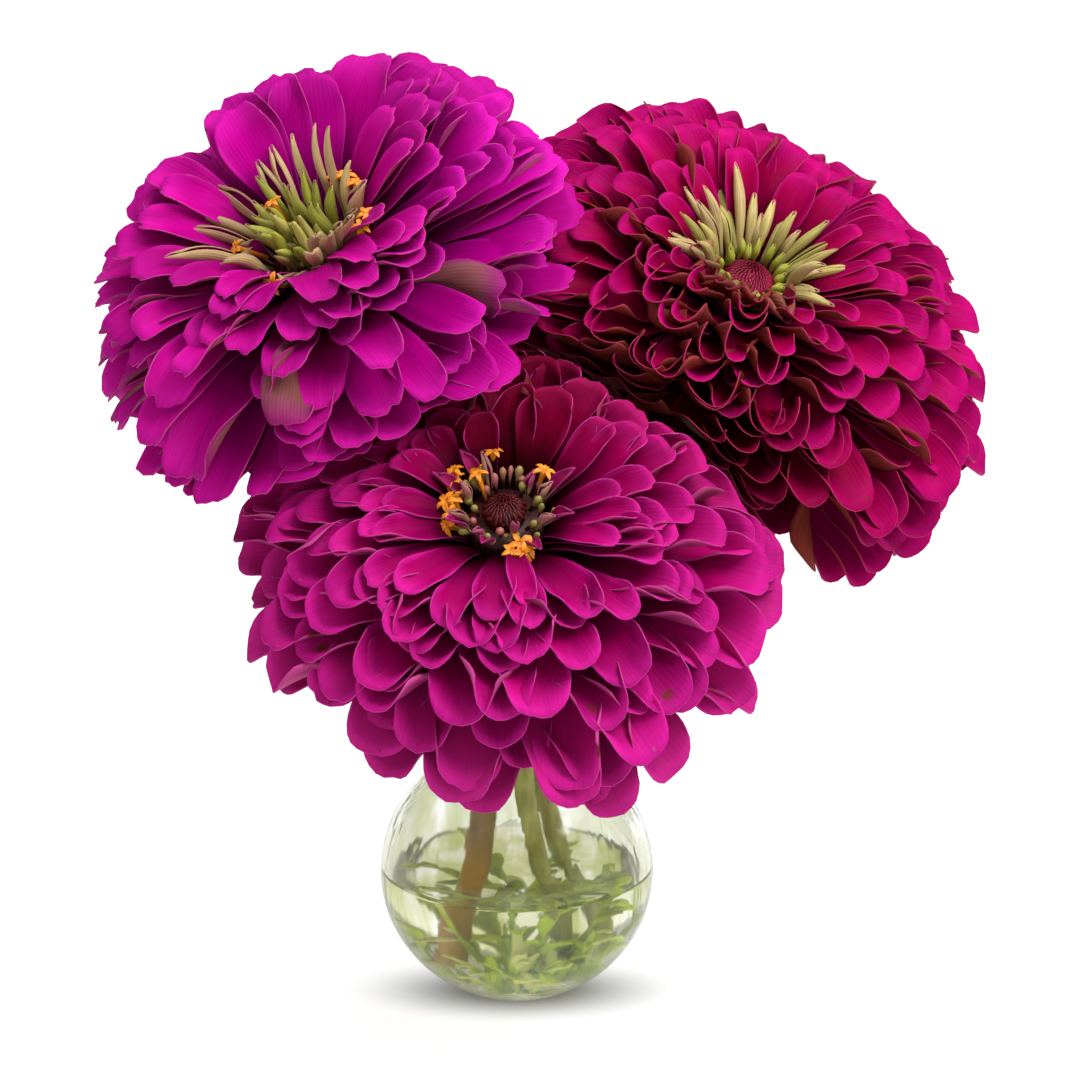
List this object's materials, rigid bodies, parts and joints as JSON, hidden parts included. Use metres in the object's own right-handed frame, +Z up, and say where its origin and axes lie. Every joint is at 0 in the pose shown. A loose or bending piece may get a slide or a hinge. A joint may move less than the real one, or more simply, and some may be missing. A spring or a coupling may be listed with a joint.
{
  "type": "zinnia flowers in a glass vase",
  "caption": "Double zinnia blooms on cut stems, standing in water in a small round glass vase, for display on a flat surface.",
  "frame": {"origin": "centre of the vase's flat foot, on the surface that it stands on", "axes": "+Z up along the vase's axis; -Y towards the front, which the blooms face; +X to the right seen from the front"},
  "size_m": [0.1892, 0.1534, 0.207],
  "materials": {
    "petals_front": "soft matte petals, magenta with paler rims, darker towards the heart",
    "petals_left": "soft matte petals, bright orchid pink with greenish pink undersides",
    "petals_right": "soft matte petals, crimson magenta with thin pale margins and dark undersides",
    "heart_front": "matte disc, dark red with orange stars",
    "heart_left": "matte, pale green and tan young petals with orange stars",
    "heart_right": "matte, dark crimson dome with green and tan young petals",
    "stem_front": "matte green stem and bracts",
    "stem_left": "matte green stem and bracts",
    "stem_right": "matte brownish green stem and bracts",
    "greens": "satin green leaves",
    "vase": "clear, faintly green",
    "water": "clear, faintly green"
  },
  "bodies": {
    "root": {"petals_front": "petals_front", "petals_left": "petals_left", "petals_right": "petals_right", "heart_front": "heart_front", "heart_left": "heart_left", "heart_right": "heart_right", "stem_front": "stem_front", "stem_left": "stem_left", "stem_right": "stem_right", "greens": "greens", "vase": "vase", "water": "water"}
  },
  "joints": []
}
